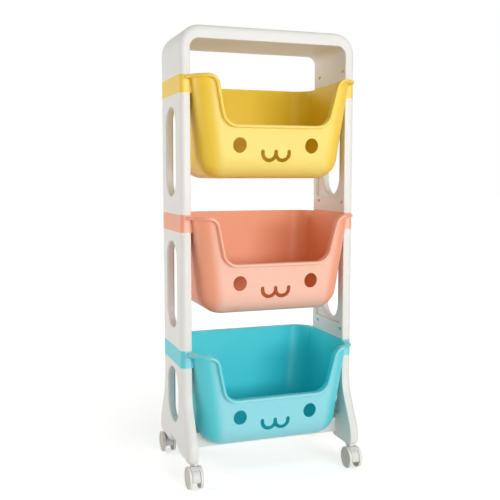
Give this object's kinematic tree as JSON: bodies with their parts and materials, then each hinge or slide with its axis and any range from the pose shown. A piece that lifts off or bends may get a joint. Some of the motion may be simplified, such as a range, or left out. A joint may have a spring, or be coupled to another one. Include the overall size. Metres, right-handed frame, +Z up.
{
  "type": "shelf unit",
  "caption": "Rolling shelf unit: scoop-front storage bins stacked between hollow side panels under a carrying arch, on swivel casters with brake pedals.",
  "frame": {"origin": "centre of the footprint on the floor, under the wheels", "axes": "+Z up, +X to the right as seen from the front, the scooped front of the bins faces -Y"},
  "size_m": [0.4, 0.2896, 0.97],
  "materials": {
    "frame_plastic": "smooth white moulded plastic with a soft sheen",
    "yellow_plastic": "soft yellow moulded plastic with a soft sheen",
    "pink_plastic": "salmon pink moulded plastic with a soft sheen",
    "blue_plastic": "aqua blue moulded plastic with a soft sheen",
    "caster_plastic": "white moulded plastic",
    "wheel_plastic": "white moulded plastic, slightly matt tread",
    "socket_plastic": "pale moulded plastic",
    "steel": "bright plated steel"
  },
  "bodies": {
    "frame": {"top_arch": "frame_plastic", "upper_panel_left": "frame_plastic", "upper_panel_right": "frame_plastic", "middle_panel_left": "frame_plastic", "middle_panel_right": "frame_plastic", "base_leg_left": "frame_plastic", "base_leg_right": "frame_plastic", "base_cross_panel": "frame_plastic", "bin_top": "yellow_plastic", "bin_middle": "pink_plastic", "bin_bottom": "blue_plastic", "caster_front_left_socket": "socket_plastic", "caster_front_left_stem": "steel", "caster_front_right_socket": "socket_plastic", "caster_front_right_stem": "steel", "caster_rear_left_socket": "socket_plastic", "caster_rear_left_stem": "steel", "caster_rear_right_socket": "socket_plastic", "caster_rear_right_stem": "steel"},
    "caster_front_left": {"caster_front_left_yoke": "caster_plastic", "caster_front_left_axle": "steel", "caster_front_left_pedal_pin": "steel"},
    "caster_front_left_wheel_left": {"caster_front_left_wheel_left": "wheel_plastic"},
    "caster_front_left_wheel_right": {"caster_front_left_wheel_right": "wheel_plastic"},
    "caster_front_left_pedal": {"caster_front_left_pedal": "caster_plastic"},
    "caster_front_right": {"caster_front_right_yoke": "caster_plastic", "caster_front_right_axle": "steel", "caster_front_right_pedal_pin": "steel"},
    "caster_front_right_wheel_left": {"caster_front_right_wheel_left": "wheel_plastic"},
    "caster_front_right_wheel_right": {"caster_front_right_wheel_right": "wheel_plastic"},
    "caster_front_right_pedal": {"caster_front_right_pedal": "caster_plastic"},
    "caster_rear_left": {"caster_rear_left_yoke": "caster_plastic", "caster_rear_left_axle": "steel"},
    "caster_rear_left_wheel_left": {"caster_rear_left_wheel_left": "wheel_plastic"},
    "caster_rear_left_wheel_right": {"caster_rear_left_wheel_right": "wheel_plastic"},
    "caster_rear_right": {"caster_rear_right_yoke": "caster_plastic", "caster_rear_right_axle": "steel"},
    "caster_rear_right_wheel_left": {"caster_rear_right_wheel_left": "wheel_plastic"},
    "caster_rear_right_wheel_right": {"caster_rear_right_wheel_right": "wheel_plastic"}
  },
  "joints": [
    {"name": "front_left_swivel", "type": "hinge", "parent": "frame", "child": "caster_front_left", "pos_m": [-0.1845, -0.105, 0.04], "axis": [0, 0, 1], "continuous": true},
    {"name": "front_left_wheel_left_spin", "type": "hinge", "parent": "caster_front_left", "child": "caster_front_left_wheel_left", "pos_m": [-0.19655, -0.121, 0.0238], "axis": [1, 0, 0], "continuous": true},
    {"name": "front_left_wheel_right_spin", "type": "hinge", "parent": "caster_front_left", "child": "caster_front_left_wheel_right", "pos_m": [-0.17245, -0.121, 0.0238], "axis": [1, 0, 0], "continuous": true},
    {"name": "front_left_brake_pedal", "type": "hinge", "parent": "caster_front_left", "child": "caster_front_left_pedal", "pos_m": [-0.1845, -0.12299, 0.0427], "axis": [1, 0, 0], "range_deg": [0, 5.5]},
    {"name": "front_right_swivel", "type": "hinge", "parent": "frame", "child": "caster_front_right", "pos_m": [0.1845, -0.105, 0.04], "axis": [0, 0, 1], "continuous": true},
    {"name": "front_right_wheel_left_spin", "type": "hinge", "parent": "caster_front_right", "child": "caster_front_right_wheel_left", "pos_m": [0.17245, -0.121, 0.0238], "axis": [1, 0, 0], "continuous": true},
    {"name": "front_right_wheel_right_spin", "type": "hinge", "parent": "caster_front_right", "child": "caster_front_right_wheel_right", "pos_m": [0.19655, -0.121, 0.0238], "axis": [1, 0, 0], "continuous": true},
    {"name": "front_right_brake_pedal", "type": "hinge", "parent": "caster_front_right", "child": "caster_front_right_pedal", "pos_m": [0.1845, -0.12299, 0.0427], "axis": [1, 0, 0], "range_deg": [0, 5.5]},
    {"name": "rear_left_swivel", "type": "hinge", "parent": "frame", "child": "caster_rear_left", "pos_m": [-0.1845, 0.105, 0.04], "axis": [0, 0, 1], "continuous": true},
    {"name": "rear_left_wheel_left_spin", "type": "hinge", "parent": "caster_rear_left", "child": "caster_rear_left_wheel_left", "pos_m": [-0.19655, 0.121, 0.0238], "axis": [1, 0, 0], "continuous": true},
    {"name": "rear_left_wheel_right_spin", "type": "hinge", "parent": "caster_rear_left", "child": "caster_rear_left_wheel_right", "pos_m": [-0.17245, 0.121, 0.0238], "axis": [1, 0, 0], "continuous": true},
    {"name": "rear_right_swivel", "type": "hinge", "parent": "frame", "child": "caster_rear_right", "pos_m": [0.1845, 0.105, 0.04], "axis": [0, 0, 1], "continuous": true},
    {"name": "rear_right_wheel_left_spin", "type": "hinge", "parent": "caster_rear_right", "child": "caster_rear_right_wheel_left", "pos_m": [0.17245, 0.121, 0.0238], "axis": [1, 0, 0], "continuous": true},
    {"name": "rear_right_wheel_right_spin", "type": "hinge", "parent": "caster_rear_right", "child": "caster_rear_right_wheel_right", "pos_m": [0.19655, 0.121, 0.0238], "axis": [1, 0, 0], "continuous": true}
  ]
}
